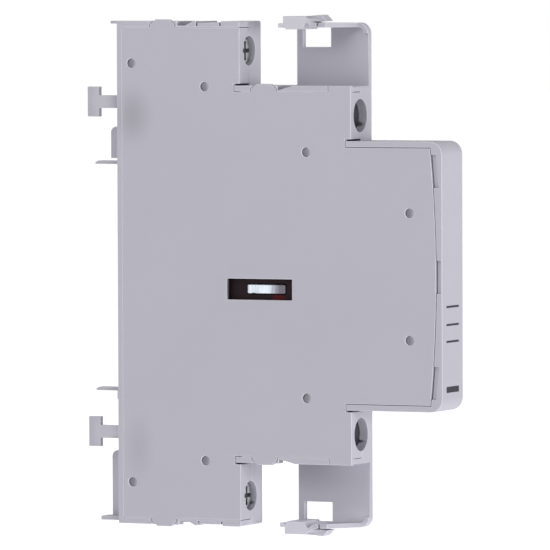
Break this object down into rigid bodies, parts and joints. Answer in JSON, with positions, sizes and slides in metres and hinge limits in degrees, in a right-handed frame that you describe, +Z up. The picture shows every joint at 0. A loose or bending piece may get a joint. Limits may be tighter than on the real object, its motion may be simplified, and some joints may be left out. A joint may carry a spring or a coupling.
{
  "type": "auxiliary contact block",
  "caption": "Slim stepped side-mount contact block with screw terminals, a driven contact carrier and hooks for a rail",
  "frame": {"origin": "centre of the housing's rear plane, which faces the mounting rail", "axes": "+Z up along the height, -Y the front with the nose, +X from the cover to the base wall"},
  "size_m": [0.0088, 0.0672, 0.0874],
  "materials": {
    "housing_plastic": "light grey moulding with a fine grain",
    "carrier_plastic": "dark red moulding",
    "clamp_steel": "folded steel, zinc plated",
    "screw_zinc": "bright zinc plated",
    "contact_copper": "stamped copper alloy",
    "contact_silver": "bright silver alloy",
    "spring_wire": "drawn spring wire"
  },
  "bodies": {
    "housing": {"base_shell": "housing_plastic", "cover_plate": "housing_plastic", "return_spring": "spring_wire", "clamp_cage_top_front": "clamp_steel", "clamp_cage_bottom_front": "clamp_steel", "clamp_cage_top_rear": "clamp_steel", "clamp_cage_bottom_rear": "clamp_steel", "contact_strip_top_front": "contact_copper", "contact_strip_bottom_front": "contact_copper", "contact_strip_top_rear": "contact_copper", "contact_strip_bottom_rear": "contact_copper", "fixed_rivet_top_front": "contact_silver", "fixed_rivet_bottom_front": "contact_silver", "fixed_rivet_top_rear": "contact_silver", "fixed_rivet_bottom_rear": "contact_silver"},
    "carrier": {"contact_carrier": "carrier_plastic", "drive_lug": "contact_silver", "make_spring": "spring_wire", "break_spring": "spring_wire"},
    "make_contact": {"make_bridge": "contact_copper", "make_rivet_upper": "contact_silver", "make_rivet_lower": "contact_silver"},
    "break_contact": {"break_bridge": "contact_copper", "break_rivet_upper": "contact_silver", "break_rivet_lower": "contact_silver"},
    "plate_top_front": {"pressure_plate_top_front": "clamp_steel"},
    "screw_top_front": {"terminal_screw_top_front": "screw_zinc"},
    "plate_bottom_front": {"pressure_plate_bottom_front": "clamp_steel"},
    "screw_bottom_front": {"terminal_screw_bottom_front": "screw_zinc"},
    "plate_top_rear": {"pressure_plate_top_rear": "clamp_steel"},
    "screw_top_rear": {"terminal_screw_top_rear": "screw_zinc"},
    "plate_bottom_rear": {"pressure_plate_bottom_rear": "clamp_steel"},
    "screw_bottom_rear": {"terminal_screw_bottom_rear": "screw_zinc"}
  },
  "joints": [
    {"name": "carrier_slide", "type": "slide", "parent": "housing", "child": "carrier", "axis": [0, 1, 0], "range_m": [0, 0.0026], "stiffness_N_per_m": 300, "springref_m": -0.002, "deforming": ["return_spring"]},
    {"name": "make_contact_slide", "type": "slide", "parent": "carrier", "child": "make_contact", "axis": [0, 1, 0], "range_m": [-0.0006, 0], "deforming": ["make_spring"]},
    {"name": "break_contact_slide", "type": "slide", "parent": "carrier", "child": "break_contact", "axis": [0, 1, 0], "range_m": [-0.0006, 0], "deforming": ["break_spring"]},
    {"name": "plate_slide_top_front", "type": "slide", "parent": "housing", "child": "plate_top_front", "axis": [0, 1, 0], "range_m": [0, 0.0044]},
    {"name": "screw_turn_top_front", "type": "hinge", "parent": "plate_top_front", "child": "screw_top_front", "pos_m": [-0.0003, -0.0406, 0.0267], "axis": [0, 1, 0], "range_deg": [0, 3168]},
    {"name": "plate_slide_bottom_front", "type": "slide", "parent": "housing", "child": "plate_bottom_front", "axis": [0, 1, 0], "range_m": [0, 0.0044]},
    {"name": "screw_turn_bottom_front", "type": "hinge", "parent": "plate_bottom_front", "child": "screw_bottom_front", "pos_m": [-0.0003, -0.0406, -0.0267], "axis": [0, 1, 0], "range_deg": [0, 3168]},
    {"name": "plate_slide_top_rear", "type": "slide", "parent": "housing", "child": "plate_top_rear", "axis": [0, 1, 0], "range_m": [0, 0.0044]},
    {"name": "screw_turn_top_rear", "type": "hinge", "parent": "plate_top_rear", "child": "screw_top_rear", "pos_m": [-0.0003, -0.022, 0.0375], "axis": [0, 1, 0], "range_deg": [0, 3168]},
    {"name": "plate_slide_bottom_rear", "type": "slide", "parent": "housing", "child": "plate_bottom_rear", "axis": [0, 1, 0], "range_m": [0, 0.0044]},
    {"name": "screw_turn_bottom_rear", "type": "hinge", "parent": "plate_bottom_rear", "child": "screw_bottom_rear", "pos_m": [-0.0003, -0.022, -0.0375], "axis": [0, 1, 0], "range_deg": [0, 3168]}
  ],
  "couplings": [
    {"joint": "make_contact_slide", "follows": "carrier_slide", "ratio": -0.2307},
    {"joint": "break_contact_slide", "follows": "carrier_slide", "ratio": -0.2307},
    {"joint": "screw_turn_top_front", "follows": "plate_slide_top_front", "rad_per_m": 12566},
    {"joint": "screw_turn_bottom_front", "follows": "plate_slide_bottom_front", "rad_per_m": 12566},
    {"joint": "screw_turn_top_rear", "follows": "plate_slide_top_rear", "rad_per_m": 12566},
    {"joint": "screw_turn_bottom_rear", "follows": "plate_slide_bottom_rear", "rad_per_m": 12566}
  ]
}
